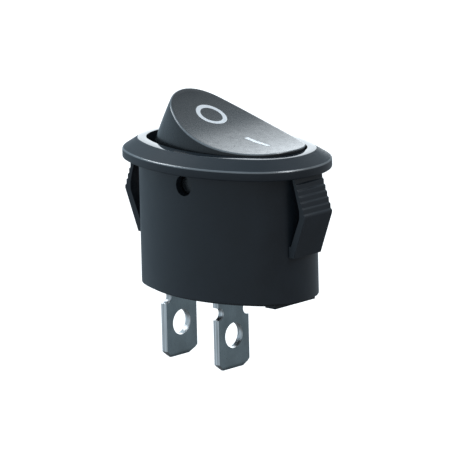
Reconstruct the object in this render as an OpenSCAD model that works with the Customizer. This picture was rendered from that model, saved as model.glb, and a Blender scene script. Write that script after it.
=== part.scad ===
// Oval snap-in rocker switch, single pole, two blade terminals.
// X runs along the bezel, Y across it, Z out of the panel.
// The origin is the centre of the panel cut-out, at the underside of the bezel.
// The rocker is drawn pressed at its +X end, which closes the contacts.

/* [Bezel] */
// Length of the bezel over its rounded ends
bezel_len = 25.6; // [25:0.1:28]
// Width of the bezel across its sides
bezel_wid = 17.5; // [17.2:0.1:19]
// Height of the upright rim
rim_h = 1.0; // [0.6:0.1:1.4]
// Chamfer along the rim's upper and lower edges
rim_chamfer = 0.15; // [0.05:0.05:0.3]
// Height of the polished land round the opening
land_z = 2.05; // [1.8:0.05:2.2]
// Width of the polished land
land_w = 0.95; // [0.6:0.05:1.2]

/* [Housing] */
// Overhang of the bezel past the tube
overhang = 1.75; // [1.6:0.05:1.9]
// Wall of the tube
wall = 0.9; // [0.75:0.05:1]
// Wall of the tube's lower lip, round the base
lip_wall = 0.5; // [0.4:0.05:0.6]
// Depth of the tube below the bezel
body_depth = 13.9; // [13.7:0.1:15]
// Depth of the lower lip that the base sits in
lip_h = 1.0; // [0.8:0.1:1.2]

/* [Latches] */
// Width of each latch arm
latch_w = 4.4; // [3.6:0.1:5]
// Reach of the latch nose from the centre
latch_reach = 13.2; // [12.6:0.1:13.6]
// Depth of the latch nose below the bezel
latch_nose_z = 4; // [3.5:0.05:4.5]
// Depth of the latch arm's root below the bezel
latch_root_z = 8.9; // [8.2:0.1:10]
// Gap between the latch's free end and the bezel
latch_gap = 0.4; // [0.3:0.05:1]
// Thickness of the latch at its nose
latch_nose_t = 1.1; // [0.8:0.05:1.3]
// Thickness of the latch at its free end
latch_tip_t = 0.45; // [0.3:0.05:0.6]
// Height of the latch's root on the tube
latch_root_h = 1.3; // [1:0.1:1.8]
// Lean of the latch's toothed face from upright, in degrees
grip_lean = 19; // [14:1:22]
// Number of grip teeth on each latch
teeth = 6; // [4:1:7]
// Depth of each grip tooth
tooth_d = 0.2; // [0.1:0.05:0.3]

/* [Rocker] */
// Tilt of the rocker either side of level
tilt = 16; // [13:0.5:16]
// Depth of the rocker's pivot below the bezel
pivot_z = 1.5; // [1.4:0.02:1.8]
// Radius of the rocker's trunnions
trunnion_r = 1.0; // [0.8:0.05:1.1]
// Radial clearance of running fits
run_gap = 0.05; // [0.02:0.01:0.08]
// Height of the scooped face at its middle, above the bezel's underside
face_z = 3.47; // [3.2:0.01:3.6]
// Radius of the scooped face
scoop_r = 22.3; // [20:0.1:40]
// Clearance between the rocker's sides and the opening
side_gap = 0.3; // [0.2:0.05:0.4]
// Clearance between the rocker's ends and the opening as they swing past it
swing_gap = 0.1; // [0.07:0.01:0.3]
// Height above the bezel's underside of the centre of the end walls' curve
rocker_mid_z = 1.57; // [1.2:0.01:1.7]
// Wall of the rocker
rocker_wall = 1.1; // [0.9:0.05:1.3]
// Depth of the rocker's skirt below the bezel's underside
skirt_z = 3.2; // [3:0.1:3.6]
// Recess of the trunnions' ends in the tube's sides
trunnion_in = 0.35; // [0.1:0.05:0.5]
// Outer radius of the spring post
post_r = 2.0; // [1.9:0.05:2.2]
// Depth of the post's mouth below the bezel's underside
post_z = 7.2; // [6.8:0.1:7.6]

/* [Marks] */
// Outer radius of the O mark
o_r = 1.74; // [1.2:0.02:2]
// Line width of both marks
mark_w = 0.5; // [0.3:0.05:0.7]
// Distance of the O mark from the middle
o_x = 3.95; // [3.2:0.05:4.2]
// Distance of the I mark's middle from the rocker's middle
i_x = 3.1; // [2.9:0.05:4]
// Length of the I mark
i_len = 3.6; // [2.5:0.1:4]
// Depth of the marks below the face
mark_d = 0.15; // [0.1:0.05:0.3]

/* [Base] */
// Thickness of the base plate
base_t = 1.3; // [1.2:0.05:1.5]
// Clearance round the base and in its slots
base_gap = 0.05; // [0.03:0.01:0.1]
// Width of the feet at the base's ends
foot_w = 6.4; // [4:0.1:7]
// Height of the feet
foot_h = 0.35; // [0.2:0.05:0.6]
// Length of the feet along the switch
foot_len = 1.5; // [1:0.1:2]
// Distance of the feet's outer faces from the middle
foot_reach = 9.5; // [9:0.1:9.6]

/* [Terminals] */
// Width of the blades
blade_w = 4.8; // [4.2:0.1:5]
// Thickness of the blades
blade_t = 0.8; // [0.5:0.1:0.9]
// Distance between the two blades
blade_pitch = 7.7; // [7.3:0.1:8]
// Depth of the middle blade's tip below the bezel's underside
blade_tip_z = 23.0; // [21:0.1:26]
// Height of the outer blade's tip above the middle blade's
tip_step = 0.4; // [0:0.1:0.6]
// Length of the plug-in tab, from tip to shoulder
tab_len = 5.6; // [5.4:0.1:7]
// Radius of the hole through each blade
eye_r = 1.4; // [0.8:0.05:1.5]
// Distance of the hole's centre from the tip
eye_up = 3.6; // [3.2:0.1:3.8]
// Width of the chamfer at each tip corner
tip_chamfer_w = 0.8; // [0.4:0.05:1]
// Height of the chamfer at each tip corner
tip_chamfer_h = 0.75; // [0.4:0.05:1]
// Bevel on the faces of the tip
tip_bevel = 0.25; // [0.1:0.05:0.3]
// Depth of the notches above the tab
notch_d = 0.85; // [0.6:0.05:0.95]
// Radius of the notches above the tab
notch_r = 0.7; // [0.5:0.05:0.75]
// Width of the terminals inside the housing
inner_w = 6.4; // [6.2:0.1:6.8]

/* [Contacts] */
// Swing of the contact arm either side of level
arm_swing = 7; // [6.5:0.1:7.5]
// Rise of the contact arm's wings
wing_rise = 5; // [4.5:0.1:5.2]
// Thickness of the contact arm
arm_t = 0.5; // [0.4:0.05:0.6]
// Length of the contact arm's open wing
open_wing = 6.0; // [5:0.1:6.5]
// Distance of the contacts inward of the outer blade
contact_in = 0.9; // [0.7:0.05:1.2]
// Height of the fixed contact above its terminal
fixed_h = 0.35; // [0.25:0.05:0.5]
// Height of the moving contact below the arm
moving_h = 0.45; // [0.3:0.05:0.6]
// Radius of the contacts
contact_r = 1.4; // [1:0.05:1.5]
// Height of the riveted head above the moving contact
head_h = 0.25; // [0.15:0.05:0.4]
// Metal left past the contacts
contact_land = 0.2; // [0.1:0.05:0.3]
// Width of the arm's waist, where it sits between the terminal's ears
waist_w = 3.4; // [3:0.1:3.8]
// Length of the arm's waist
waist_len = 1.4; // [1.3:0.1:2]
// Height of the terminal's ears above the ridge
ear_h = 0.9; // [0.6:0.1:1.2]
// Clearance between the waist and the ears
ear_gap = 0.1; // [0.05:0.01:0.2]
// Distance of the arm's stop inward of the open wing's end
stop_in = 0.8; // [0.7:0.1:1.4]
// Clearance between the open wing and its stop
stop_gap = 0.08; // [0.04:0.01:0.2]
// Gap left between pieces that touch across a joint
touch_gap = 0.02; // [0.01:0.01:0.05]

/* [Plunger] */
// Radius of the plunger's tip
tip_r = 0.9; // [0.7:0.05:1]
// Radius of the plunger's guided length
plunger_r = 1.3; // [1.2:0.05:1.4]
// Length of the plunger's tapered neck
neck_len = 0.9; // [0.6:0.1:1.2]
// Length of the plunger's guided part
guide_len = 2.2; // [1.8:0.1:2.6]
// Clearance of the plunger's tip over the arm at mid travel
tip_gap = 0.06; // [0.04:0.01:0.2]
// Diameter of the spring's wire
wire_d = 0.3; // [0.2:0.02:0.36]
// Number of turns in the spring
turns = 8; // [6:1:9]

/* [Hidden] */
$fn = 64;

// Longer than any part of the switch, for cutting shapes.
reach = 60;
// Overlap of solids that are joined into one piece.
weld = 0.01;

// The bezel's outline is an oval of four arcs, and every other oval is inset from it.
half_len = bezel_len / 2;
half_wid = bezel_wid / 2;
// Angle, seen from the end arcs' centres, at which the ends meet the sides.
join_angle = 60;
end_c = round(1000 * (half_len - half_wid) / (1 + tan(join_angle) - 1 / cos(join_angle))) / 1000;
end_r = half_len - end_c;
side_c = end_c * tan(join_angle);
side_r = end_r + end_c / cos(join_angle);

// Insets from the bezel's outline.
opening_in = overhang + wall;
seat_in = overhang + lip_wall;
land_in = opening_in - land_w;

// Inner bend radius of the contact terminal.
bend_r = 0.3;

// Levels.
floor_z = -(body_depth - lip_h);
base_bottom = floor_z - base_t;
flange_low = floor_z + bend_r;
flange_top = flange_low + blade_t;
contact_z = flange_top + fixed_h;

// The arm rocks on the common terminal's ridge, and its closed wing slopes down a little.
closed_slope = arm_swing - wing_rise;
contact_x = -(blade_pitch - contact_in);
wing_x = contact_x / cos(closed_slope) + moving_h * sin(closed_slope);
arm_z = contact_z + touch_gap + moving_h * cos(closed_slope) + (contact_r - wing_x) * sin(closed_slope);
closed_wing = contact_r + contact_land - wing_x;
stem_r = contact_r / 2;

// Distance from the rocker's pivot to the centre of the plunger's tip.
tip_drop = -pivot_z - arm_z - arm_t - tip_r - tip_gap;

// Heights along the level rocker.
tip_z = -pivot_z - tip_drop;
guide_low = tip_z + tip_r + neck_len;
guide_top = guide_low + guide_len;
post_top = face_z - rocker_wall;
trunnion_end = half_wid - overhang - trunnion_in;

// The rocker's oval follows the opening, drawn in at the ends by the swing.
rocker_half = half_wid - opening_in - side_gap;
rocker_end_r = end_r - opening_in;
rocker_end_c = end_c - (rocker_mid_z + pivot_z) * sin(tilt) - swing_gap;
rocker_side_r = (pow(rocker_end_c, 2) + pow(rocker_half, 2) - pow(rocker_end_r, 2))
                / (2 * (rocker_half - rocker_end_r));

// ---------- shapes ----------

// An oval of four arcs, given its end radius, side radius and their centres.
module arc_oval(r_end, r_side, c_end, c_side) {
    for (s = [-1, 1]) {
        translate([s * c_end, 0]) circle(r = r_end);
        intersection() {
            translate([0, -s * c_side]) circle(r = r_side);
            polygon([[-c_end, 0],
                     [c_end, 0],
                     [3 * c_end, 2 * s * c_side],
                     [-3 * c_end, 2 * s * c_side]]);
        }
    }
}

// The bezel's oval, drawn in by a given inset.
module oval(inset) {
    arc_oval(end_r - inset, side_r - inset, end_c, side_c);
}

// Sweeps a profile round the bezel's outline. The profile's X is minus the inset.
module sweep_oval() {
    for (s = [-1, 1]) {
        translate([s * end_c, 0, 0])
            rotate([0, 0, (s < 0) ? 180 : 0])
                rotate_extrude(angle = 2 * join_angle, start = -join_angle)
                    translate([end_r, 0]) children();
        translate([0, -s * side_c, 0])
            rotate([0, 0, (s < 0) ? 180 : 0])
                rotate_extrude(angle = 180 - 2 * join_angle, start = join_angle)
                    translate([side_r, 0]) children();
    }
}

// Extrudes an outline drawn in X and Z to a width centred on Y.
module across(width) {
    translate([0, width / 2, 0])
        rotate([90, 0, 0])
            linear_extrude(width) children();
}

// Extrudes an outline drawn in Y and Z to a thickness centred on X.
module along(thickness) {
    translate([-thickness / 2, 0, 0])
        rotate([90, 0, 90])
            linear_extrude(thickness) children();
}

// Turns the rocker's pieces from level to the pressed position.
module pressed() {
    translate([0, 0, -pivot_z])
        rotate([0, tilt, 0])
            translate([0, 0, pivot_z]) children();
}

// Turns the arm's pieces from level to the closed position.
module closed() {
    translate([0, 0, arm_z])
        rotate([0, -arm_swing, 0]) children();
}

// ---------- housing ----------

// Bezel, tube wall and lower lip in one profile.
module shell_profile() {
    polygon([[-overhang, 0],
             [-rim_chamfer, 0],
             [0, rim_chamfer],
             [0, rim_h - rim_chamfer],
             [-rim_chamfer, rim_h],
             [-land_in, land_z],
             [-opening_in, land_z],
             [-opening_in, floor_z],
             [-seat_in, floor_z],
             [-seat_in, -body_depth],
             [-overhang, -body_depth]]);
}

// Side view of the +X latch: a root, an arm that leans out and a toothed nose.
module latch_profile() {
    wall_x = half_len - overhang;
    root_in = wall_x - 0.8 * wall;
    root_out = wall_x + latch_tip_t / 2;
    nose_in = latch_reach - latch_nose_t;
    pitch = (latch_nose_z - latch_gap) / teeth;
    step = pitch * tan(grip_lean);
    top_out = latch_reach - teeth * step;
    polygon(concat(
        [[root_in, -latch_root_z],
         [root_out, -latch_root_z],
         [latch_reach, -latch_nose_z]],
        [for (i = [0 : teeth - 1], k = [0, 1])
            (k == 0)
            ? [latch_reach - i * step - tooth_d, -latch_nose_z + i * pitch + tooth_d / 2]
            : [latch_reach - (i + 1) * step, -latch_nose_z + (i + 1) * pitch]],
        [[top_out - latch_tip_t, -latch_gap],
         [nose_in, -latch_nose_z + latch_tip_t],
         [nose_in, -latch_nose_z - latch_tip_t],
         [wall_x + weld, -latch_root_z + latch_root_h],
         [root_in, -latch_root_z + latch_root_h]]));
}

module housing() {
    color([0.2, 0.23, 0.26])
    difference() {
        union() {
            sweep_oval() shell_profile();
            for (s = [0, 1])
                mirror([s, 0, 0])
                    across(latch_w) latch_profile();
        }
        translate([0, 0, -pivot_z])
            rotate([90, 0, 0])
                cylinder(r = trunnion_r + run_gap, h = bezel_wid, center = true);
    }
}

// ---------- rocker ----------

// Body of the level rocker: an oval turned about a line across the switch.
module rocker_form(inset) {
    translate([0, 0, rocker_mid_z])
        rotate([90, 0, 0])
            rotate_extrude()
                intersection() {
                    arc_oval(rocker_end_r - inset, rocker_side_r - inset,
                             rocker_end_c, rocker_side_r - rocker_half);
                    translate([0, -reach / 2]) square([reach, reach]);
                }
}

// Everything under the scooped face, lowered by a given depth.
module under_face(depth) {
    difference() {
        translate([0, 0, face_z]) cube([reach, reach, reach], center = true);
        translate([0, 0, face_z + scoop_r])
            rotate([90, 0, 0])
                cylinder(r = scoop_r + depth, h = 2 * reach, center = true, $fn = 160);
    }
}

// Everything above a level.
module above(z) {
    translate([-reach / 2, -reach / 2, z]) cube(reach);
}

module o_outline() {
    translate([-o_x, 0])
        difference() {
            circle(r = o_r);
            circle(r = o_r - mark_w);
        }
}

module i_outline() {
    translate([i_x, 0]) square([i_len, mark_w], center = true);
}

// The groove that a mark sits in, open at the scooped face.
module groove() {
    difference() {
        linear_extrude(reach / 4) children();
        under_face(mark_d);
    }
}

// A mark as a shallow inlay, level with the scooped face.
module inlay() {
    intersection() {
        groove() children();
        under_face(0);
    }
}

module rocker() {
    bore_r = plunger_r + run_gap;
    color([0.29, 0.31, 0.33])
    pressed()
    difference() {
        union() {
            difference() {
                intersection() {
                    rocker_form(0);
                    under_face(0);
                    above(-skirt_z);
                }
                intersection() {
                    rocker_form(rocker_wall);
                    under_face(rocker_wall);
                }
            }
            translate([0, 0, -post_z]) cylinder(r = post_r, h = post_z + post_top + rocker_wall / 2);
            for (s = [-1, 1])
                translate([0, s * (rocker_half - rocker_wall), -pivot_z])
                    rotate([-90 * s, 0, 0])
                        cylinder(r = trunnion_r, h = trunnion_end - rocker_half + rocker_wall);
        }
        translate([0, 0, -post_z - weld]) cylinder(r = bore_r, h = post_z + post_top + weld);
        groove() o_outline();
        groove() i_outline();
    }
}

module o_mark() {
    color([0.9, 0.91, 0.93]) pressed() inlay() o_outline();
}

module i_mark() {
    color([0.92, 0.93, 0.95]) pressed() inlay() i_outline();
}

// ---------- base ----------

module base() {
    slot_w = blade_w + 2 * base_gap;
    slot_t = blade_t + 2 * base_gap;
    pad_low_x = -blade_pitch + blade_t / 2 + bend_r;
    pad_len = contact_x + contact_r - pad_low_x;
    stop_len = 2 * stop_in;
    stop_z = arm_z - open_wing * sin(closed_slope) - stop_gap;
    color([0.15, 0.17, 0.19])
    difference() {
        union() {
            translate([0, 0, base_bottom]) linear_extrude(base_t) oval(seat_in + base_gap);
            for (s = [-1, 1])
                translate([s * (foot_reach - foot_len / 2), 0, base_bottom - foot_h / 2 + weld / 2])
                    cube([foot_len, foot_w, foot_h + weld], center = true);
            translate([pad_low_x, -contact_r, floor_z - weld])
                cube([pad_len, 2 * contact_r, bend_r + weld]);
            translate([open_wing - stop_len, -blade_w / 2, floor_z - weld])
                cube([stop_len, blade_w, stop_z - floor_z + weld]);
        }
        for (x = [0, -blade_pitch])
            translate([x, 0, floor_z])
                cube([slot_t, slot_w, 4 * base_t], center = true);
    }
}

// ---------- terminals ----------

// Face view of a blade, from its tip up to a level.
module blade_face(tip, top) {
    half = blade_w / 2;
    notch_y = half - notch_d + notch_r;
    difference() {
        polygon([[-half + tip_chamfer_w, tip],
                 [half - tip_chamfer_w, tip],
                 [half, tip + tip_chamfer_h],
                 [half, top],
                 [-half, top],
                 [-half, tip + tip_chamfer_h]]);
        translate([0, tip + eye_up]) circle(r = eye_r);
        for (s = [-1, 1])
            translate([s * notch_y, tip + tab_len + notch_r]) circle(r = notch_r);
    }
}

// A blade with bevelled faces at its tip.
module blade(tip, top) {
    half = blade_t / 2;
    intersection() {
        along(blade_t) blade_face(tip, top);
        across(2 * blade_w)
            polygon([[-half + tip_bevel, tip],
                     [half - tip_bevel, tip],
                     [half, tip + 2 * tip_bevel],
                     [half, top],
                     [-half, top],
                     [-half, tip + 2 * tip_bevel]]);
    }
}

module common_terminal() {
    ridge_z = arm_z - touch_gap;
    ridge_drop = 0.06;
    ear_z = arm_z + ear_h;
    color([0.55, 0.58, 0.6])
    union() {
        blade(-blade_tip_z, floor_z + weld);
        difference() {
            translate([-blade_t / 2, -inner_w / 2, floor_z])
                cube([blade_t, inner_w, ear_z - floor_z]);
            across(waist_w + 2 * ear_gap)
                polygon([[0, ridge_z],
                         [blade_t, ridge_z - ridge_drop * 2],
                         [blade_t, ear_z + weld],
                         [-blade_t, ear_z + weld],
                         [-blade_t, ridge_z - ridge_drop * 2]]);
        }
    }
}

module contact_terminal() {
    out_r = bend_r + blade_t;
    bend_x = -blade_pitch + blade_t / 2 + bend_r;
    flange_end = contact_x + contact_r + contact_land;
    color([0.55, 0.58, 0.6])
    difference() {
        union() {
            translate([-blade_pitch, 0, 0]) blade(tip_step - blade_tip_z, floor_z + weld);
            across(blade_w) {
                translate([bend_x, floor_z])
                    intersection() {
                        difference() {
                            circle(r = out_r);
                            circle(r = bend_r);
                        }
                        translate([-reach, 0]) square(reach);
                    }
                translate([bend_x - weld, flange_low]) square([flange_end - bend_x + weld, blade_t]);
            }
        }
        translate([contact_x, 0, flange_low - 1]) cylinder(r = stem_r + touch_gap, h = blade_t + 2);
    }
}

module fixed_contact() {
    color([0.8, 0.8, 0.78])
    translate([contact_x, 0, 0]) {
        translate([0, 0, flange_top]) cylinder(r = contact_r, h = fixed_h);
        translate([0, 0, flange_low]) cylinder(r = stem_r, h = blade_t + weld);
    }
}

// ---------- moving contact and arm ----------

// The closed wing's own frame, with X running in along the wing.
module on_closed_wing() {
    closed() rotate([0, wing_rise, 0]) children();
}

module moving_contact() {
    color([0.8, 0.8, 0.78])
    on_closed_wing()
    translate([wing_x, 0, 0]) {
        translate([0, 0, -moving_h]) cylinder(r = contact_r, h = moving_h);
        translate([0, 0, -weld]) cylinder(r = stem_r, h = arm_t + 2 * weld);
        translate([0, 0, arm_t]) cylinder(r = (contact_r + stem_r) / 2, h = head_h);
    }
}

module contact_arm() {
    rise = tan(wing_rise);
    up = arm_t / cos(wing_rise);
    color([0.72, 0.5, 0.3])
    difference() {
        closed()
            difference() {
                across(blade_w)
                    polygon([[0, 0],
                             [open_wing, open_wing * rise],
                             [open_wing, open_wing * rise + up],
                             [0, up],
                             [-closed_wing, closed_wing * rise + up],
                             [-closed_wing, closed_wing * rise]]);
                for (s = [-1, 1])
                    translate([0, s * blade_w / 2, 0])
                        cube([waist_len, blade_w - waist_w, 4 * arm_t], center = true);
            }
        on_closed_wing()
            translate([wing_x, 0, -arm_t]) cylinder(r = stem_r + touch_gap, h = 3 * arm_t);
    }
}

// ---------- plunger and spring ----------

module plunger() {
    color([0.85, 0.85, 0.82])
    pressed()
    translate([0, 0, tip_z]) {
        sphere(r = tip_r);
        cylinder(r = tip_r, h = tip_r + neck_len);
        translate([0, 0, tip_r]) cylinder(r1 = tip_r, r2 = plunger_r, h = neck_len);
        translate([0, 0, tip_r + neck_len - weld]) cylinder(r = plunger_r, h = guide_len + weld);
    }
}

// A coil of round wire as one swept tube.
module coil(mean_r, wire_r, height, n_turns, steps, sides) {
    rings = n_turns * steps;
    function spot(i, j) =
        let (a = 360 * i / steps, b = 360 * j / sides, r = mean_r + wire_r * cos(b))
        [r * cos(a), r * sin(a), height * i / rings + wire_r * sin(b)];
    points = [for (i = [0 : rings], j = [0 : sides - 1]) spot(i, j)];
    sides_faces = [for (i = [0 : rings - 1], j = [0 : sides - 1])
        let (k = (j + 1) % sides)
        [i * sides + j, (i + 1) * sides + j, (i + 1) * sides + k, i * sides + k]];
    first = [for (j = [0 : sides - 1]) j];
    last = [for (j = [sides - 1 : -1 : 0]) rings * sides + j];
    polyhedron(points, concat(sides_faces, [first, last]), convexity = 10);
}

module plunger_spring() {
    wire_r = wire_d / 2;
    low = guide_top + wire_r + touch_gap;
    high = post_top - wire_r - touch_gap;
    color([0.75, 0.76, 0.78])
    pressed()
    translate([0, 0, low])
        coil(plunger_r - 2 * wire_r, wire_r, high - low, turns, 16, 6);
}

housing();
rocker();
o_mark();
i_mark();
base();
common_terminal();
contact_terminal();
fixed_contact();
moving_contact();
contact_arm();
plunger();
plunger_spring();
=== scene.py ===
import math

import bmesh
import bpy
from bmesh.types import BMEdge, BMFace, BMVert
from bpy.props import FloatProperty, FloatVectorProperty, IntProperty, PointerProperty
from bpy.types import Operator, Panel, PropertyGroup
from mathutils import Matrix, Vector


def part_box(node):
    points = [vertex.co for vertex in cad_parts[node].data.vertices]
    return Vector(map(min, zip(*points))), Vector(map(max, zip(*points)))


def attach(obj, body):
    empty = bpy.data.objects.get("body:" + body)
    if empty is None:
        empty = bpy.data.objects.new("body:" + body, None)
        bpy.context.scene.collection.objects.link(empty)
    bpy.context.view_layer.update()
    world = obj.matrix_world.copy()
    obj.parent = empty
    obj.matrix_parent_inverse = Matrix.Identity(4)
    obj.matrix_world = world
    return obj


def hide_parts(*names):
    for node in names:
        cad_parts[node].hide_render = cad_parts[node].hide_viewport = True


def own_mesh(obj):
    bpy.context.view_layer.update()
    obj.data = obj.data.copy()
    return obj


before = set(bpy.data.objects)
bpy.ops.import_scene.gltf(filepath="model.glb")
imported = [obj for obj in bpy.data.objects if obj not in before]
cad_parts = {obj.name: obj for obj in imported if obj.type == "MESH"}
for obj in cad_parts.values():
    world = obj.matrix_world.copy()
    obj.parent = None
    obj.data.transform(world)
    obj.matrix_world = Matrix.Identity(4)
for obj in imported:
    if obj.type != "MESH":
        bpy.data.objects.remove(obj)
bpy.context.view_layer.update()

bl_info = {
    "name": "Oval Rocker Switch",
    "version": (1, 0, 0),
    "blender": (4, 5, 0),
    "location": "View3D > Sidebar > Switch",
    "description": "Builds an oval snap-in rocker switch round its packed frame",
    "category": "Object",
}

# Shapes are drawn in millimetres and scaled to metres when they become objects.
MM = 0.001
# Points closer than this are one point.
WELD = 1e-4
# How far a shape that is joined to another runs into it.
BURY = 0.3
# Where the arcs of the bezel's ends meet those of its sides, from its long axis.
JOIN_ANGLE = math.radians(60)
QUARTER_TURN = math.radians(90)
# Edges sharper than this keep a crease in their shading.
CREASE = math.radians(32)


# ----- sizes and colours -----

def length(name, description, default, low=0.0):
    return FloatProperty(name=name, description=description, default=default * MM,
                         min=low * MM, unit="LENGTH", subtype="DISTANCE", precision=5)


def angle(name, description, degrees):
    return FloatProperty(name=name, description=description, default=math.radians(degrees),
                         subtype="ANGLE")


def colour(name, description, default):
    return FloatVectorProperty(name=name, description=description, default=default,
                               size=3, min=0.0, max=1.0, subtype="COLOR")


class BezelSizes(PropertyGroup):
    """Sizes of the bezel and its tube."""
    bezel_len: length("Length", "Length over the rounded ends", 25.6)
    bezel_wid: length("Width", "Width across the sides", 17.5)
    rim_h: length("Rim height", "Height of the upright rim", 1.0)
    rim_round: length("Rim rounding", "Rounding of its edges", 0.16)
    land_z: length("Land height", "Height of the land at the opening", 2.16)
    land_w: length("Land width", "Width of the land", 0.97)
    land_fall: length("Land fall", "Fall towards the outer edge", 0.08)
    crest_round: length("Crest rounding", "Rounding of the land's outer edge", 0.06)
    mouth_round: length("Mouth rounding", "Rounding of the land's inner edge", 0.05)
    overhang: length("Overhang", "Overhang of the bezel past the tube", 1.75)
    wall: length("Tube wall", "Wall of the tube", 0.9)
    lip_wall: length("Lip wall", "Wall of the tube's lower lip", 0.5)
    body_depth: length("Depth", "Depth of the tube below the bezel", 13.9)
    lip_h: length("Lip depth", "Depth of the lip round the base", 1.0)
    heel_round: length("Heel rounding", "Rounding of the tube's lower edge", 0.06)


class LatchSizes(PropertyGroup):
    """Sizes of the two panel latches."""
    width: length("Width", "Width of each latch arm", 4.4)
    reach: length("Reach", "Reach of the nose from the middle", 13.2)
    nose_z: length("Nose depth", "Depth of the nose below the bezel", 3.95)
    root_z: length("Root depth", "Depth of the root below the bezel", 8.9)
    root_t: length("Root thickness", "Thickness at the root", 0.36)
    root_h: length("Root height", "Height over which the root joins the tube", 1.3)
    root_skin: length("Root overlap", "Overlap of the inner face with the tube", 0.02)
    gap: length("Top gap", "Gap between the free end and the bezel", 0.1)
    nose_t: length("Nose thickness", "Thickness at the nose", 0.85)
    nose_h: length("Nose height", "Height of the flat on the nose", 0.35)
    nose_round: length("Nose rounding", "Rounding along the nose's top", 0.12)
    tip_t: length("Tip thickness", "Thickness at the free end", 0.45)
    tooth_d: length("Tooth depth", "Depth of each grip tooth", 0.2)
    tooth_round: length("Tooth rounding", "Rounding of the grip teeth", 0.07)
    edge_round: length("Edge rounding", "Rounding along the side edges", 0.05)
    lean: angle("Lean", "Lean of the toothed face from upright", 19)
    teeth: IntProperty(name="Teeth", description="Number of grip teeth", default=6, min=3, max=9)


class RockerSizes(PropertyGroup):
    """Sizes of the rocker and its marks."""
    tilt: angle("Tilt", "Tilt either side of level", 16)
    pivot_z: length("Pivot depth", "Depth of the pivot below the bezel", 1.5)
    trunnion_r: length("Trunnion radius", "Radius of the trunnions", 1.06)
    trunnion_end: length("Trunnion reach", "Reach from the middle", 6.12)
    trunnion_round: length("Trunnion rounding", "Rounding of their ends", 0.12)
    hole_r: length("Pivot hole radius", "Radius of the tube's pivot holes", 1.12)
    face_z: length("Face height", "Height of the face at its middle", 3.47)
    scoop_r: length("Scoop radius", "Radius of the scooped face", 22.3)
    half_wid: length("Half width", "Half of the greatest width", 5.8)
    end_r: length("End radius", "Radius of the ends", 4.4712)
    end_c: length("End centre", "Distance of their centres from the middle", 4.7324)
    mid_z: length("Middle height", "Height where the sides are widest", 1.57)
    crest_x: length("Crest reach", "Reach of the end walls at their top", 8.5)
    crest_z: length("Crest height", "Height of that reach", 5.1)
    swing_r: length("Swing radius", "Greatest reach of the ends from the pivot", 9.72)
    skirt_z: length("Skirt depth", "Depth of the skirt below the bezel", 3.2)
    rim_round: length("Rim rounding", "Rounding of the edge round the face", 0.14)
    wall: length("Wall", "Wall of the moulding", 1.1)
    post_r: length("Post radius", "Outer radius of the spring post", 2.0)
    post_round: length("Post rounding", "Rounding of its edges", 0.08)
    bore_r: length("Bore radius", "Radius of the post's bore", 1.35)
    post_z: length("Post depth", "Depth of its mouth below the bezel", 7.2)
    o_r: length("O radius", "Outer radius", 1.76)
    o_w: length("O line width", "Line width", 0.5)
    o_x: length("O distance", "Distance from the middle", 4.02)
    o_y: length("O shift", "Shift across the switch", 0.3)
    i_x: length("I distance", "Distance from the middle", 3.15)
    i_y: length("I shift", "Shift across the switch", 0.08)
    i_len: length("I length", "Length of the bar", 3.35)
    i_w: length("I line width", "Line width", 0.56)
    mark_rise: length("Mark rise", "Rise of the marks above the face", 0.02)
    mark_t: length("Mark thickness", "Thickness of the marks", 0.12)


class TerminalSizes(PropertyGroup):
    """Sizes of the terminals and the base they pass through."""
    blade_w: length("Blade width", "Width of the blades", 4.8)
    blade_t: length("Blade thickness", "Thickness of the blades", 0.8)
    blade_round: length("Blade rounding", "Rounding of their edges", 0.07)
    pitch: length("Pitch", "Distance between the blades", 7.7)
    tip_z: length("Tip depth", "Depth of the middle blade's tip", 23.0)
    tip_step: length("Tip step", "Height of the outer tip above the middle one", 0.4)
    tab_len: length("Tab length", "Length of the middle blade's tab", 5.7)
    outer_tab_len: length("Outer tab length", "Length of the outer blade's tab", 6.1)
    eye_r: length("Eye radius", "Radius of each blade's eye", 1.4)
    eye_up: length("Eye height", "Height of the eye's centre above the tip", 3.72)
    chamfer_w: length("Chamfer width", "Width of the tip's chamfers", 0.8)
    chamfer_h: length("Chamfer height", "Height of the tip's chamfers", 0.75)
    wide_chamfer: length("Wide chamfer", "Width of the outer tip's far chamfer", 1.15)
    tip_bevel: length("Tip bevel", "Bevel on the faces of the tip", 0.25)
    notch_d: length("Notch depth", "Depth of the notches above the tab", 0.85)
    notch_r: length("Notch radius", "Radius of those notches", 0.7)
    inner_w: length("Inner width", "Width of the middle terminal's head", 6.4)
    inner_round: length("Inner rounding", "Rounding of that head", 0.05)
    saddle_w: length("Saddle width", "Width of the see-saw's saddle", 3.6)
    saddle_d: length("Saddle depth", "Depth between its ears", 0.92)
    bend_r: length("Bend radius", "Inner bend radius of the outer terminal", 0.3)
    base_t: length("Base thickness", "Thickness of the plate", 1.3)
    base_gap: length("Base gap", "Clearance round the base and in its slots", 0.05)
    base_round: length("Base rounding", "Rounding of its edges", 0.05)
    foot_w: length("Foot width", "Width of the feet", 6.4)
    foot_h: length("Foot height", "Height of the feet", 0.35)
    foot_len: length("Foot length", "Length of the feet", 1.5)
    foot_reach: length("Foot reach", "Reach from the middle", 9.5)
    foot_round: length("Foot rounding", "Rounding of their edges", 0.06)


class SpringSizes(PropertyGroup):
    """Sizes of the coil spring over the plunger."""
    coil_r: length("Coil radius", "Radius to the middle of the wire", 1.0)
    wire_r: length("Wire radius", "Radius of the spring's wire", 0.15)
    travel: length("Travel", "Travel of the plunger into the rocker", 0.8)
    turns: IntProperty(name="Turns", description="Number of turns", default=8, min=6, max=9)


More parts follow.
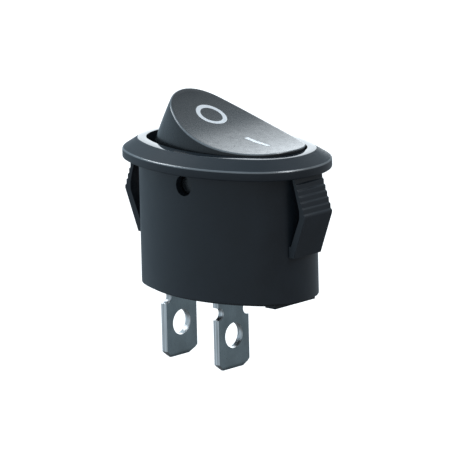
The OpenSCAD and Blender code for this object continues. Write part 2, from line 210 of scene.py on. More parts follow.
class SwitchColours(PropertyGroup):
    """Colours of the switch's plastics and metals."""
    housing: colour("Housing", "Black nylon of the housing", (0.0115, 0.017, 0.024))
    rocker: colour("Rocker", "Black nylon of the rocker", (0.016, 0.019, 0.022))
    base: colour("Base", "Black nylon of the base", (0.011, 0.016, 0.021))
    # The edges' colour, lighter than the nylon, is a painted highlight along the rims' rounded
    # edges.
    edge: colour("Edges", "Nylon rubbed bright", (0.11, 0.12, 0.13))
    mark: colour("Marks", "White infill of the marks", (0.92, 0.93, 0.95))
    terminal: colour("Terminals", "Tin plate of the blades", (0.37, 0.47, 0.52))
    # The sheared edges' colour, far lighter than the blade faces, is a painted highlight on the
    # blades' edges and eye walls.
    sheared: colour("Sheared edges", "Sheared edges of the blades", (1.0, 0.98, 0.96))
    contact: colour("Contacts", "Silver alloy of the contacts", (0.78, 0.77, 0.74))
    arm: colour("Arm", "Copper alloy of the contact arm", (0.72, 0.45, 0.25))
    plunger: colour("Plunger", "Natural plastic of the plunger", (0.80, 0.79, 0.74))
    spring: colour("Spring", "Drawn wire of the spring", (0.60, 0.61, 0.63))


class StageSettings(PropertyGroup):
    """Camera and floor."""
    azimuth: angle("Azimuth", "Camera's turn from the near side", 42.8343)
    elevation: angle("Elevation", "Camera's height above level", 12.8570)
    roll: angle("Roll", "Camera's turn about its line of sight", 1.4548)
    distance: length("Distance", "Camera's distance", 1000)
    lens: FloatProperty(name="Lens", description="Focal length on a 36 mm sensor, in millimetres",
                        default=715.29)
    aim_x: length("Aim right", "Aim point's place to the right", 0.39945, -1000)
    aim_y: length("Aim up", "Aim point's place upwards", -7.78856, -1000)
    floor_z: length("Floor", "Height of the floor", -42, -1000)


class SwitchSettings(PropertyGroup):
    """Everything that a user would change on the switch."""
    bezel: PointerProperty(type=BezelSizes)
    latch: PointerProperty(type=LatchSizes)
    rocker: PointerProperty(type=RockerSizes)
    terminal: PointerProperty(type=TerminalSizes)
    spring: PointerProperty(type=SpringSizes)
    colours: PointerProperty(type=SwitchColours)
    stage: PointerProperty(type=StageSettings)


class Millimetres:
    """Reads property groups with their lengths in millimetres."""

    def __init__(self, group):
        self.group = group

    def __getattr__(self, name):
        value = getattr(self.group, name)
        if isinstance(value, PropertyGroup):
            return Millimetres(value)
        unit = self.group.bl_rna.properties[name].unit
        return value / MM if unit == "LENGTH" else value


# ----- materials -----

def add_node(nodes, kind, **values):
    """Adds a shader node and sets its named inputs, with underscores for spaces."""
    node = nodes.new(kind)
    for name, value in values.items():
        node.inputs[name.replace("_", " ")].default_value = value
    return node


class Finish:
    """A material on the piece's own coordinates, its sizes in millimetres."""

    def __init__(self, name):
        self.material = bpy.data.materials.new(name)
        self.material.use_nodes = True
        self.nodes = self.material.node_tree.nodes
        self.link = self.material.node_tree.links.new
        self.shader = self.nodes["Principled BSDF"]
        self.place = self.nodes.new("ShaderNodeTexCoord")

    def noise(self, size, detail, stretch=None):
        """A noise whose patches are about the size across, drawn out by stretch."""
        texture = add_node(self.nodes, "ShaderNodeTexNoise", Scale=1.0 / (size * MM),
                           Detail=detail)
        where = self.place.outputs["Object"]
        if stretch:
            mapping = add_node(self.nodes, "ShaderNodeMapping", Scale=[1.0 / s for s in stretch])
            self.link(where, mapping.inputs["Vector"])
            where = mapping.outputs["Vector"]
        self.link(where, texture.inputs["Vector"])
        return texture.outputs["Fac"]

    def between(self, noise, low, high):
        """Spreads the middle of a noise over the range from low to high."""
        spread = add_node(self.nodes, "ShaderNodeMapRange", From_Min=0.3, From_Max=0.7,
                          To_Min=low, To_Max=high)
        self.link(noise, spread.inputs["Value"])
        return spread.outputs["Result"]

    def tint(self, noise, tint, low, high):
        """Lets the colour drift between two shades of a tint."""
        mix = self.nodes.new("ShaderNodeMix")
        mix.data_type = "RGBA"
        for socket, level in (("A", low), ("B", high)):
            mix.inputs[socket].default_value = (*[min(1.0, c * level) for c in tint], 1.0)
        self.link(self.between(noise, 0.0, 1.0), mix.inputs["Factor"])
        self.link(mix.outputs["Result"], self.shader.inputs["Base Color"])

    def roughness(self, noise, low, high):
        self.link(self.between(noise, low, high), self.shader.inputs["Roughness"])

    def bump(self, noise, depth):
        bump = add_node(self.nodes, "ShaderNodeBump", Strength=0.5, Distance=depth * MM)
        self.link(noise, bump.inputs["Height"])
        self.link(bump.outputs["Normal"], self.shader.inputs["Normal"])


def moulded_plastic(name, tint, rough, grain, depth, drift=0.12):
    """Moulded nylon: a fine grain in its skin, cloudy gloss and a little drift in its colour."""
    finish = Finish(name)
    clouds = finish.noise(size=2.6, detail=4.0)
    finish.tint(clouds, tint, 1 - drift, 1 + drift)
    finish.roughness(clouds, rough - 0.03, rough + 0.03)
    finish.bump(finish.noise(size=grain, detail=2.0), depth)
    finish.shader.inputs["IOR"].default_value = 1.53
    return finish


def satin_plastic(name, tint, rough):
    """Moulded nylon handled to a satin: mottled gloss over a fine grain."""
    finish = moulded_plastic(name, tint, rough, grain=0.09, depth=0.002)
    mottle = finish.noise(size=0.55, detail=5.0)
    finish.roughness(mottle, rough - 0.05, rough + 0.05)
    return finish


def edge_highlight_plastic(name, tint):
    """Nylon along a rounded edge, lighter in colour and with a raised IOR: a painted highlight.
    """
    finish = moulded_plastic(name, tint, rough=0.22, grain=0.3, depth=0.001, drift=0.2)
    finish.shader.inputs["IOR"].default_value = 2.4
    return finish


def rolled_metal(name, tint, rough, streak, depth, along="Z"):
    """Rolled or drawn metal: streaks along the rolling direction and slight tarnish."""
    finish = Finish(name)
    stretch = {"X": (14, 1, 1), "Y": (1, 14, 1), "Z": (1, 1, 14)}[along]
    streaks = finish.noise(streak, 4.0, stretch)
    finish.tint(finish.noise(size=1.9, detail=5.0), tint, 0.82, 1.08)
    finish.roughness(streaks, rough - 0.06, rough + 0.09)
    finish.bump(streaks, depth)
    finish.shader.inputs["Metallic"].default_value = 1.0
    return finish


def sheared_metal_highlight(name, tint):
    """A sheared metal edge, lightened as a painted highlight, with bright and dark lines along
    the cut that are partly shear marks and partly painted highlight.
    """
    finish = rolled_metal(name, tint, rough=0.38, streak=0.07, depth=0.003)
    lines = finish.noise(size=0.22, detail=2.0, stretch=(1, 1, 30))
    finish.tint(lines, tint, 0.5, 1.15)
    return finish


# What makes each finish and which of the switch's colours it has, then its roughness, the
# size and the depth of its grain or streaks, and its drift of colour or rolling direction.
FINISHES = {
    "housing_nylon": (moulded_plastic, "housing", 0.42, 0.11, 0.006),
    "polished_land": (moulded_plastic, "housing", 0.09, 0.6, 0.0006, 0.05),
    # A lighter colour along the rims' rounded edges, painted as a highlight.
    "burnished_edge": (edge_highlight_plastic, "edge"),
    "rocker_nylon": (satin_plastic, "rocker", 0.26),
    "base_nylon": (moulded_plastic, "base", 0.5, 0.13, 0.006),
    "white_infill": (moulded_plastic, "mark", 0.32, 0.08, 0.003, 0.03),
    "plunger_nylon": (moulded_plastic, "plunger", 0.4, 0.12, 0.004, 0.05),
    "tinned_brass": (rolled_metal, "terminal", 0.3, 0.12, 0.002),
    # The blades' edges in a lighter colour, a painted highlight.
    "sheared_edge": (sheared_metal_highlight, "sheared"),
    "copper_alloy": (rolled_metal, "arm", 0.28, 0.1, 0.0015, "X"),
    "silver_alloy": (rolled_metal, "contact", 0.22, 0.08, 0.001, "Y"),
    "drawn_wire": (rolled_metal, "spring", 0.25, 0.06, 0.001, "X"),
}


def finish_for(key):
    """The material of one finish, made once and then shared."""
    made = bpy.data.materials.get(key)
    if made:
        return made
    maker, tint, *looks = FINISHES[key]
    colours = bpy.context.scene.rocker_switch.colours
    return maker(key, getattr(colours, tint), *looks).material


# ----- making pieces -----

def new_mesh(name, bm):
    mesh = bpy.data.meshes.new(name)
    bm.to_mesh(mesh)
    return mesh


def new_object(name, data):
    obj = bpy.data.objects.new(name, data)
    bpy.context.scene.collection.objects.link(obj)
    return obj


def move(bm, offset):
    bmesh.ops.translate(bm, vec=offset, verts=bm.verts)


def resize(bm, factors):
    bmesh.ops.scale(bm, vec=factors, verts=bm.verts)


def make_piece(name, bm, body, finishes, node):
    """Turns a bmesh into the piece that shows a node of a body."""
    resize(bm, (MM, MM, MM))
    mesh = new_mesh(name, bm)
    bm.free()
    for key in finishes:
        mesh.materials.append(finish_for(key))
    mesh.shade_smooth()
    mesh.set_sharp_from_angle(angle=CREASE)
    piece = new_object(name, mesh)
    piece.modifiers.new("even shading", "WEIGHTED_NORMAL").keep_sharp = True
    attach(piece, body)
    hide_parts(node)
    return piece


def cut_away(bm, *cutters):
    """Subtracts each cutter, itself a bmesh, from a bmesh."""
    blank = new_object("blank", new_mesh("blank", bm))
    spares = [blank]
    for cutter in cutters:
        tool = new_object("cutter", new_mesh("cutter", cutter))
        cutter.free()
        spares.append(tool)
        cut = blank.modifiers.new("cut", "BOOLEAN")
        cut.operation = "DIFFERENCE"
        cut.solver = "EXACT"
        cut.object = tool
    bpy.context.view_layer.update()
    seen = blank.evaluated_get(bpy.context.evaluated_depsgraph_get())
    cut_mesh = seen.to_mesh()
    bm.clear()
    bm.from_mesh(cut_mesh)
    seen.to_mesh_clear()
    for spare in spares:
        mesh = spare.data
        bpy.data.objects.remove(spare)
        bpy.data.meshes.remove(mesh)


def rod(radius, span, axis, centre, sides=64):
    """A closed round rod as a bmesh."""
    bm = bmesh.new()
    turn = {"X": Matrix.Rotation(QUARTER_TURN, 4, "Y"),
            "Y": Matrix.Rotation(QUARTER_TURN, 4, "X"),
            "Z": Matrix.Identity(4)}[axis]
    bmesh.ops.create_cone(bm, cap_ends=True, segments=sides, radius1=radius, radius2=radius,
                          depth=span, matrix=Matrix.Translation(centre) @ turn)
    return bm


def block(size, centre):
    """A closed box as a bmesh."""
    bm = bmesh.new()
    bmesh.ops.create_cube(bm, size=1.0)
    resize(bm, size)
    move(bm, centre)
    return bm


def join_in(bm, other):
    """Adds another bmesh's shape to a bmesh."""
    mesh = new_mesh("part", other)
    other.free()
    bm.from_mesh(mesh)
    bpy.data.meshes.remove(mesh)


def only(geom, kind):
    return [g for g in geom if isinstance(g, kind)]


def face_outward(bm):
    bmesh.ops.recalc_face_normals(bm, faces=bm.faces)


def extrude(bm, faces, offset):
    """Draws faces out by an offset."""
    geom = bmesh.ops.extrude_face_region(bm, geom=list(faces))["geom"]
    bmesh.ops.translate(bm, vec=offset, verts=only(geom, BMVert))


def bevel(bm, geom, width, segments, affect="EDGES", finish=-1):
    bmesh.ops.bevel(bm, geom=geom, offset=width, offset_type="OFFSET", segments=segments,
                    profile=0.5, affect=affect, clamp_overlap=True, material=finish)


def spin(bm, geom, centre, axis, turn, steps, rise=0.0):
    """Sweeps geometry round an axis and gives what it ends as."""
    return bmesh.ops.spin(bm, geom=geom, cent=centre, axis=axis, dvec=(0, 0, rise), angle=turn,
                          steps=steps, use_merge=False, use_duplicate=False)["geom_last"]


def sharp_edges(bm, degrees):
    limit = math.radians(degrees)
    return [e for e in bm.edges if e.is_manifold and e.calc_face_angle() > limit]


def soften(bm, width, degrees=40, keep=lambda edge: True):
    """Rounds the edges sharper than an angle that keep lets through."""
    bevel(bm, [e for e in sharp_edges(bm, degrees) if keep(e)], width, 2)


def round_corners(bm, spots, width, segments):
    """Rounds the corners of an outline that lie at the spots."""
    corners = [v for v in bm.verts if any((v.co - s).length < WELD for s in spots)]
    bevel(bm, corners, width, segments, "VERTICES")


# ----- the bezel's oval -----

class Oval:
    """The bezel's outline: four arcs that share their centres with every inset of it."""

    def __init__(self, bezel):
        half_len = bezel.bezel_len / 2
        half_wid = bezel.bezel_wid / 2
        span = 1 + math.tan(JOIN_ANGLE) - 1 / math.cos(JOIN_ANGLE)
        self.end_c = round((half_len - half_wid) / span, 3)
        self.end_r = half_len - self.end_c
        self.side_c = self.end_c * math.tan(JOIN_ANGLE)

    def start(self, out, z):
        """A point where the sweep starts, out past the outline, at a height."""
        reach = self.end_r + out
        return Vector((self.end_c + reach * math.cos(-JOIN_ANGLE),
                       reach * math.sin(-JOIN_ANGLE), z))

    def sweep(self, bm, geom, end_steps=48, side_steps=36):
        """Spins a wire profile round the four arcs and closes the loop."""
        turn_end = 2 * JOIN_ANGLE
        turn_side = math.pi - turn_end
        arcs = [((self.end_c, 0, 0), turn_end, end_steps),
                ((0, -self.side_c, 0), turn_side, side_steps),
                ((-self.end_c, 0, 0), turn_end, end_steps),
                ((0, self.side_c, 0), turn_side, side_steps)]
        for centre, turn, steps in arcs:
            geom = spin(bm, geom, centre, (0, 0, 1), turn, steps)
        bmesh.ops.remove_doubles(bm, verts=bm.verts, dist=WELD)


def tube_floor(bezel):
    """Height of the ledge that the base meets."""
    return bezel.lip_h - bezel.body_depth


# ----- operators -----

class SWITCH_OT_housing(Operator):
    """Make the housing moulding: bezel, polished land, tube, pivot holes and two latches"""
    bl_idname = "rocker_switch.housing"
    bl_label = "Housing"

    # With this many sides a pivot hole has no corner on the tube's middle line.
    HOLE_SIDES = 62
    # How far upward the normals of the polished land and of the rim's rounded edge point; that
    # edge takes the lighter colour of the painted highlight.
    LAND_UP, EDGE_UP_LOW, EDGE_UP_HIGH = 0.9, 0.3, 0.8

    def execute(self, context):
        sizes = Millimetres(context.scene.rocker_switch)
        bezel, rocker = sizes.bezel, sizes.rocker
        bm = self.shell(bezel)
        cut_away(bm, rod(rocker.hole_r, bezel.bezel_wid, "Y", (0, 0, -rocker.pivot_z),
                         self.HOLE_SIDES))
        for side in (1, -1):
            join_in(bm, self.latch(sizes.latch, bezel, side))
        make_piece("housing_moulding", bm, "case",
                   ["housing_nylon", "polished_land", "burnished_edge"], "housing")
        return {"FINISHED"}

    def shell(self, bezel):
        """The bezel and the tube, swept round the oval from one profile."""
        oval = Oval(bezel)
        ledge_z = tube_floor(bezel)
        opening = -(bezel.overhang + bezel.wall)
        seat = -(bezel.overhang + bezel.lip_wall)
        under = [oval.start(-bezel.overhang, 0)]
        rim = [oval.start(0, 0), oval.start(0, bezel.rim_h)]
        crest = [oval.start(opening + bezel.land_w, bezel.land_z - bezel.land_fall)]
        mouth = [oval.start(opening, bezel.land_z)]
        ledge = [oval.start(opening, ledge_z), oval.start(seat, ledge_z)]
        foot = [oval.start(seat, -bezel.body_depth)]
        heel = [oval.start(-bezel.overhang, -bezel.body_depth)]
        bm = bmesh.new()
        profile = under + rim + crest + mouth + ledge + foot + heel
        bm.faces.new([bm.verts.new(spot) for spot in profile])
        round_corners(bm, rim, bezel.rim_round, 4)
        round_corners(bm, crest, bezel.crest_round, 4)
        round_corners(bm, mouth, bezel.mouth_round, 3)
        round_corners(bm, heel, bezel.heel_round, 2)
        bmesh.ops.delete(bm, geom=list(bm.faces), context="FACES_ONLY")
        oval.sweep(bm, [*bm.verts, *bm.edges])
        face_outward(bm)
        for face in bm.faces:
            up, z = face.normal.z, face.calc_center_median().z
            if up > self.LAND_UP and z > bezel.rim_h:
                face.material_index = 1
            # Faces round the rim's top edge take the lighter colour of the painted highlight.
            elif (self.EDGE_UP_LOW < up < self.EDGE_UP_HIGH
                  and abs(z - bezel.rim_h) < bezel.rim_round):
                face.material_index = 2
        return bm

    def latch(self, latch, bezel, side):
        """One latch arm, drawn in outline and extruded across the switch."""
        wall_x = bezel.bezel_len / 2 - bezel.overhang
        root_in = wall_x - BURY
        root_top = latch.root_h - latch.root_z
        pitch = (latch.nose_z - latch.gap) / latch.teeth
        step = pitch * math.tan(latch.lean)
        outline = [(root_in, -latch.root_z), (wall_x + latch.root_t, -latch.root_z),
                   (latch.reach, -latch.nose_z - latch.nose_h), (latch.reach, -latch.nose_z)]
        teeth = []
        for i in range(latch.teeth):
            teeth += [(latch.reach - i * step - latch.tooth_d,
                       -latch.nose_z + i * pitch + latch.tooth_d / 2),
                      (latch.reach - (i + 1) * step, -latch.nose_z + (i + 1) * pitch)]
        nose_in = latch.reach - latch.nose_t
        outline += [*teeth, (latch.reach - latch.teeth * step - latch.tip_t, -latch.gap),
                    (nose_in, -latch.nose_z + latch.tip_t),
                    (nose_in, -latch.nose_z - latch.tip_t),
                    (wall_x - latch.root_skin, root_top), (root_in, root_top)]
        bm = bmesh.new()
        near_y = -latch.width / 2
        bm.faces.new([bm.verts.new((x, near_y, z)) for x, z in outline])
        round_corners(bm, [Vector((x, near_y, z)) for x, z in teeth[:-1]], latch.tooth_round, 2)
        round_corners(bm, [Vector((latch.reach, near_y, -latch.nose_z))], latch.nose_round, 3)
        extrude(bm, bm.faces, (0, latch.width, 0))
        face_outward(bm)
        soften(bm, latch.edge_round, degrees=60,
               keep=lambda edge: abs(edge.verts[0].co.y - edge.verts[1].co.y) < WELD)
        if side < 0:
            resize(bm, (-1, 1, 1))
            bmesh.ops.reverse_faces(bm, faces=bm.faces)
        return bm


def press(bm, rocker):
    """Turns what was drawn on the level rocker to its pressed position."""
    bmesh.ops.rotate(bm, cent=(0, 0, -rocker.pivot_z),
                     matrix=Matrix.Rotation(rocker.tilt, 3, "Y"), verts=bm.verts)


def scoop(rocker, x):
    """Height of the scooped face of the level rocker."""
    return rocker.face_z + rocker.scoop_r - math.sqrt(rocker.scoop_r ** 2 - x * x)


class RockerWall:
    """The level rocker's wall, an oval turned about a line across the switch."""

    # The rim is sought between these heights over the face's middle, by halving.
    SEARCH_LOW, SEARCH_HIGH, HALVINGS = -1, 4, 40

    def __init__(self, rocker):
        self.rocker = rocker
        end_c, end_r, half_wid = rocker.end_c, rocker.end_r, rocker.half_wid
        self.side_r = (end_c ** 2 + half_wid ** 2 - end_r ** 2) / (2 * (half_wid - end_r))
        self.side_c = self.side_r - half_wid
        self.reach = end_c + end_r
        self.draft = (self.reach - rocker.crest_x) / (rocker.crest_z - rocker.mid_z)
        self.join = end_c + end_r * end_c / math.hypot(end_c, self.side_c)

    def half_width(self, distance):
        """Half width at a distance from the line that the oval turns about."""
        distance = min(distance, self.reach)
        if distance < self.join:
            return math.sqrt(self.side_r ** 2 - distance ** 2) - self.side_c
        along = distance - self.rocker.end_c
        return math.sqrt(max(0.0, self.rocker.end_r ** 2 - along ** 2))

    def spot(self, turn, z):
        """The point of the wall at a turn round the rocker and a height."""
        rocker = self.rocker
        rise = z - rocker.mid_z
        end = self.reach - self.draft * rise
        if rise < 0:
            end = min(end, math.sqrt(rocker.swing_r ** 2 - (z + rocker.pivot_z) ** 2))
        round_end = math.sqrt(self.reach ** 2 - rise ** 2)
        half = self.half_width(math.hypot(round_end * math.cos(turn), rise))
        across = math.sin(turn)
        y = math.copysign(half, across) if abs(across) > 1e-6 else 0.0
        return Vector((end * math.cos(turn), y, z))

    def rim_height(self, turn):
        """Height at which the wall meets the scooped face."""
        middle = self.rocker.face_z
        low, high = middle + self.SEARCH_LOW, middle + self.SEARCH_HIGH
        for _ in range(self.HALVINGS):
            z = (low + high) / 2
            if z < scoop(self.rocker, self.spot(turn, z).x):
                low = z
            else:
                high = z
        return z


class SWITCH_OT_rocker(Operator):
    """Make the rocker: scooped face, swept wall, trunnions and spring post"""
    bl_idname = "rocker_switch.rocker"
    bl_label = "Rocker"

    WALL_STEPS, WALL_ROWS = 160, 10
    # The face's rings of points, as shares of its outline.
    FACE_RINGS = (0.93, 0.85, 0.74, 0.62, 0.5, 0.38, 0.26, 0.14, 0.05)

    def execute(self, context):
        rocker = Millimetres(context.scene.rocker_switch.rocker)
        bm = self.cap(rocker)
        bore_top = rocker.face_z - rocker.wall
        post_top = bore_top + BURY
        post = rod(rocker.post_r, rocker.post_z + post_top, "Z",
                   (0, 0, (post_top - rocker.post_z) / 2))
        cut_away(post, rod(rocker.bore_r, 2 * (rocker.post_z + bore_top), "Z",
                           (0, 0, -rocker.post_z)))
        soften(post, rocker.post_round)
        join_in(bm, post)
        inner = rocker.half_wid - rocker.wall
        for side in (1, -1):
            trunnion = rod(rocker.trunnion_r, rocker.trunnion_end - inner, "Y",
                           (0, side * (rocker.trunnion_end + inner) / 2, -rocker.pivot_z))
            soften(trunnion, rocker.trunnion_round)
            join_in(bm, trunnion)
        press(bm, rocker)
        make_piece("rocker_moulding", bm, "rocker",
                   ["rocker_nylon", "burnished_edge"], "rocker")
        return {"FINISHED"}

    def cap(self, rocker):
        """The hollow paddle: a wall swept round its outline under the scooped face."""
        wall = RockerWall(rocker)
        bm = bmesh.new()
        bmesh.ops.create_grid(bm, x_segments=self.WALL_STEPS, y_segments=self.WALL_ROWS, size=0.5)
        # Across the grid is round the rocker, and down the grid is down its wall.
        for v in bm.verts:
            turn = 2 * math.pi * (v.co.x + 0.5)
            share = 0.5 - v.co.y
            top = wall.rim_height(turn)
            v.co = wall.spot(turn, top - (rocker.skirt_z + top) * share)
        bmesh.ops.remove_doubles(bm, verts=bm.verts, dist=WELD)
        edges = [e for e in bm.edges if e.is_boundary and min(v.co.z for v in e.verts) > 0]
        last = 1.0
        for share in self.FACE_RINGS:
            ring = bmesh.ops.extrude_edge_only(bm, edges=edges)["geom"]
            edges = [e for e in only(ring, BMEdge) if e.is_boundary]
            for v in only(ring, BMVert):
                v.co.x *= share / last
                v.co.y *= share / last
                v.co.z = scoop(rocker, v.co.x)
            last = share
        bmesh.ops.contextual_create(bm, geom=edges)
        face_outward(bm)
        # The rounding round the face takes the lighter colour of the painted highlight.
        bevel(bm, sharp_edges(bm, degrees=45), rocker.rim_round, 4, finish=1)
        bmesh.ops.solidify(bm, geom=bm.faces, thickness=rocker.wall)
        face_outward(bm)
        return bm


class SWITCH_OT_marks(Operator):
    """Make the O and I marks, inlaid in the scooped face"""
    bl_idname = "rocker_switch.marks"
    bl_label = "Marks"

    RING_SIDES, RING_STEPS = 72, 4
    BAR_STEPS, BAR_ROWS = 24, 3

    def execute(self, context):
        rocker = Millimetres(context.scene.rocker_switch.rocker)
        ring = bmesh.new()
        bmesh.ops.create_circle(ring, segments=self.RING_SIDES, radius=rocker.o_r - rocker.o_w)
        edges = list(ring.edges)
        for i in range(1, self.RING_STEPS + 1):
            geom = bmesh.ops.extrude_edge_only(ring, edges=edges)["geom"]
            verts = only(geom, BMVert)
            edges = [e for e in only(geom, BMEdge) if all(v in verts for v in e.verts)]
            radius = rocker.o_r - rocker.o_w * (1 - i / self.RING_STEPS)
            for v in verts:
                v.co = v.co.normalized() * radius
        move(ring, (-rocker.o_x, rocker.o_y, 0))
        self.inlay("o_inlay", ring, rocker, "o_mark")
        bar = bmesh.new()
        bmesh.ops.create_grid(bar, x_segments=self.BAR_STEPS, y_segments=self.BAR_ROWS, size=0.5)
        resize(bar, (rocker.i_len, rocker.i_w, 1))
        move(bar, (rocker.i_x, rocker.i_y, 0))
        self.inlay("i_inlay", bar, rocker, "i_mark")
        return {"FINISHED"}

    def inlay(self, name, bm, rocker, node):
        """Drapes a flat mark on the face, thickens it and lets it ride with the rocker."""
        for v in bm.verts:
            v.co.z = scoop(rocker, v.co.x) + rocker.mark_rise
        extrude(bm, bm.faces, (0, 0, -rocker.mark_t))
        face_outward(bm)
        press(bm, rocker)
        make_piece(name, bm, "rocker", ["white_infill"], node)


class SWITCH_OT_terminals(Operator):
    """Make the two blade terminals with their eyes, notches, bevelled tips and inner ends"""
    bl_idname = "rocker_switch.terminals"
    bl_label = "Terminals"

    EYE_SIDES, NOTCH_SIDES, BEND_STEPS = 56, 40, 10
    # A face is sheared where its normal points less than this to the plate's sides; those faces
    # take the lighter colour of the painted highlight.
    SHEARED_LEAN = 0.5

    def execute(self, context):
        sizes = Millimetres(context.scene.rocker_switch)
        t, floor_z = sizes.terminal, tube_floor(sizes.bezel)
        self.finish("common_blade", self.common(t, floor_z), "common_terminal")
        self.finish("contact_blade", self.contact(t, floor_z), "contact_terminal")
        return {"FINISHED"}

    def finish(self, name, bm, node):
        """Makes a terminal whose sheared edges and eye walls take a lighter colour, a painted
        highlight.
        """
        bm.normal_update()
        for face in bm.faces:
            if abs(face.normal.x) < self.SHEARED_LEAN:
                face.material_index = 1
        make_piece(name, bm, "case", ["tinned_brass", "sheared_edge"], node)

    def common(self, t, floor_z):
        """The middle terminal, whose head carries the see-saw between two ears."""
        ears_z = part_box("common_terminal")[1].z / MM
        bm = self.blade(t, -t.tip_z, floor_z, t.tab_len, t.chamfer_w)
        head = block((t.blade_t, t.inner_w, ears_z - floor_z), (0, 0, (ears_z + floor_z) / 2))
        cut_away(head, block((2 * t.blade_t, t.saddle_w, 2 * t.saddle_d), (0, 0, ears_z)))
        soften(head, t.inner_round)
        join_in(bm, head)
        return bm

    def contact(self, t, floor_z):
        """The outer terminal, bent over inside to carry the fixed contact."""
        flange_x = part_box("contact_terminal")[1].x / MM + t.pitch
        bend_x = t.blade_t / 2 + t.bend_r
        bm = self.blade(t, t.tip_step - t.tip_z, floor_z, t.outer_tab_len, t.wide_chamfer)
        top = [f for f in bm.faces if abs(f.calc_center_median().z - floor_z) < WELD]
        geom = dict.fromkeys(top)
        for face in top:
            geom.update(dict.fromkeys([*face.edges, *face.verts]))
        end = only(spin(bm, list(geom), (bend_x, 0, floor_z), (0, 1, 0), QUARTER_TURN,
                        self.BEND_STEPS), BMFace)
        extrude(bm, end, (flange_x - bend_x, 0, 0))
        inside = [f for f in top + end if f.is_valid]
        bmesh.ops.delete(bm, geom=inside, context="FACES_ONLY")
        face_outward(bm)
        move(bm, (-t.pitch, 0, 0))
        return bm

    def blade(self, t, tip, top, tab_len, far_chamfer):
        """One blade, from its bevelled tip to the floor of the housing."""
        half_t, half_w = t.blade_t / 2, t.blade_w / 2
        bevel_top = tip + 2 * t.tip_bevel
        outline = [(-half_t + t.tip_bevel, tip), (half_t - t.tip_bevel, tip), (half_t, bevel_top),
                   (half_t, top), (-half_t, top), (-half_t, bevel_top)]
        bm = bmesh.new()
        bm.faces.new([bm.verts.new((x, -half_w, z)) for x, z in outline])
        extrude(bm, bm.faces, (0, t.blade_w, 0))
        for side, width in ((1, far_chamfer), (-1, t.chamfer_w)):
            corner = Vector((0, side * half_w, tip + t.chamfer_h))
            out = Vector((0, side * t.chamfer_h, -width)).normalized()
            cut = bmesh.ops.bisect_plane(bm, geom=[*bm.verts, *bm.edges, *bm.faces], dist=1e-5,
                                         plane_co=corner, plane_no=out,
                                         clear_outer=True)["geom_cut"]
            bmesh.ops.contextual_create(bm, geom=only(cut, BMEdge))
        face_outward(bm)
        notch_y = half_w - t.notch_d + t.notch_r
        notch_z = tip + tab_len + t.notch_r
        through = 5 * t.blade_t
        cut_away(bm, rod(t.eye_r, through, "X", (0, 0, tip + t.eye_up), self.EYE_SIDES),
                 rod(t.notch_r, through, "X", (0, notch_y, notch_z), self.NOTCH_SIDES),
                 rod(t.notch_r, through, "X", (0, -notch_y, notch_z), self.NOTCH_SIDES))
        soften(bm, t.blade_round, degrees=35,
               keep=lambda edge: min(v.co.z for v in edge.verts) < top - WELD)
        return bm


class SWITCH_OT_base(Operator):
    """Make the base plate with its blade slots and end feet"""
    bl_idname = "rocker_switch.base"
    bl_label = "Base"

    def execute(self, context):
        sizes = Millimetres(context.scene.rocker_switch)
        t, bezel = sizes.terminal, sizes.bezel
        floor_z = tube_floor(bezel)
        low = floor_z - t.base_t
        oval = Oval(bezel)
        bm = bmesh.new()
        bm.verts.new(oval.start(-(bezel.overhang + bezel.lip_wall + t.base_gap), low))
        oval.sweep(bm, list(bm.verts))
        bmesh.ops.contextual_create(bm, geom=list(bm.edges))
        extrude(bm, bm.faces, (0, 0, t.base_t))
        face_outward(bm)
        slot = (t.blade_t + 2 * t.base_gap, t.blade_w + 2 * t.base_gap, 4 * t.base_t)
        cut_away(bm, block(slot, (0, 0, floor_z)), block(slot, (-t.pitch, 0, floor_z)))
        soften(bm, t.base_round, degrees=60)
        for side in (1, -1):
            foot = block((t.foot_len, t.foot_w, t.foot_h + BURY),
                         (side * (t.foot_reach - t.foot_len / 2), 0, low + (BURY - t.foot_h) / 2))
            soften(foot, t.foot_round)
            join_in(bm, foot)
        make_piece("base_moulding", bm, "case", ["base_nylon"], "base")
        return {"FINISHED"}


class SWITCH_OT_spring(Operator):
    """Make the coil spring in the rocker's post"""
    bl_idname = "rocker_switch.spring"
    bl_label = "Spring"

    TURN_STEPS, WIRE_SIDES = 32, 12

    def execute(self, context):
        sizes = Millimetres(context.scene.rocker_switch)
        rocker, spring = sizes.rocker, sizes.spring
        pivot = Vector((0, 0, -rocker.pivot_z))
        level = Matrix.Rotation(-rocker.tilt, 3, "Y")
        heights = [(level @ (v.co / MM - pivot) + pivot).z
                   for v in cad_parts["plunger_spring"].data.vertices]
        top, bottom = max(heights), min(heights)
        run = top - bottom - 2 * spring.wire_r
        steps = self.TURN_STEPS * spring.turns
        start = Matrix.Translation((spring.coil_r, 0, bottom + spring.wire_r))
        bm = bmesh.new()
        bmesh.ops.create_circle(bm, segments=self.WIRE_SIDES, radius=spring.wire_r,
                                matrix=start @ Matrix.Rotation(QUARTER_TURN, 4, "X"))
        spin(bm, [*bm.verts, *bm.edges], (0, 0, 0), (0, 0, 1), 2 * math.pi * spring.turns,
             steps, run / steps)
        bmesh.ops.holes_fill(bm, edges=[e for e in bm.edges if e.is_boundary], sides=0)
        face_outward(bm)
        press(bm, rocker)
        coil = make_piece("spring_coil", bm, "rocker", ["drawn_wire"],
                          "plunger_spring")
        axis = Matrix.Rotation(rocker.tilt, 3, "Y") @ Vector((0, 0, 1))
        tuple((pivot + (top + rocker.pivot_z) * axis) * MM)
        1 - spring.travel / (top - bottom)
        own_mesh(coil)
        return {"FINISHED"}


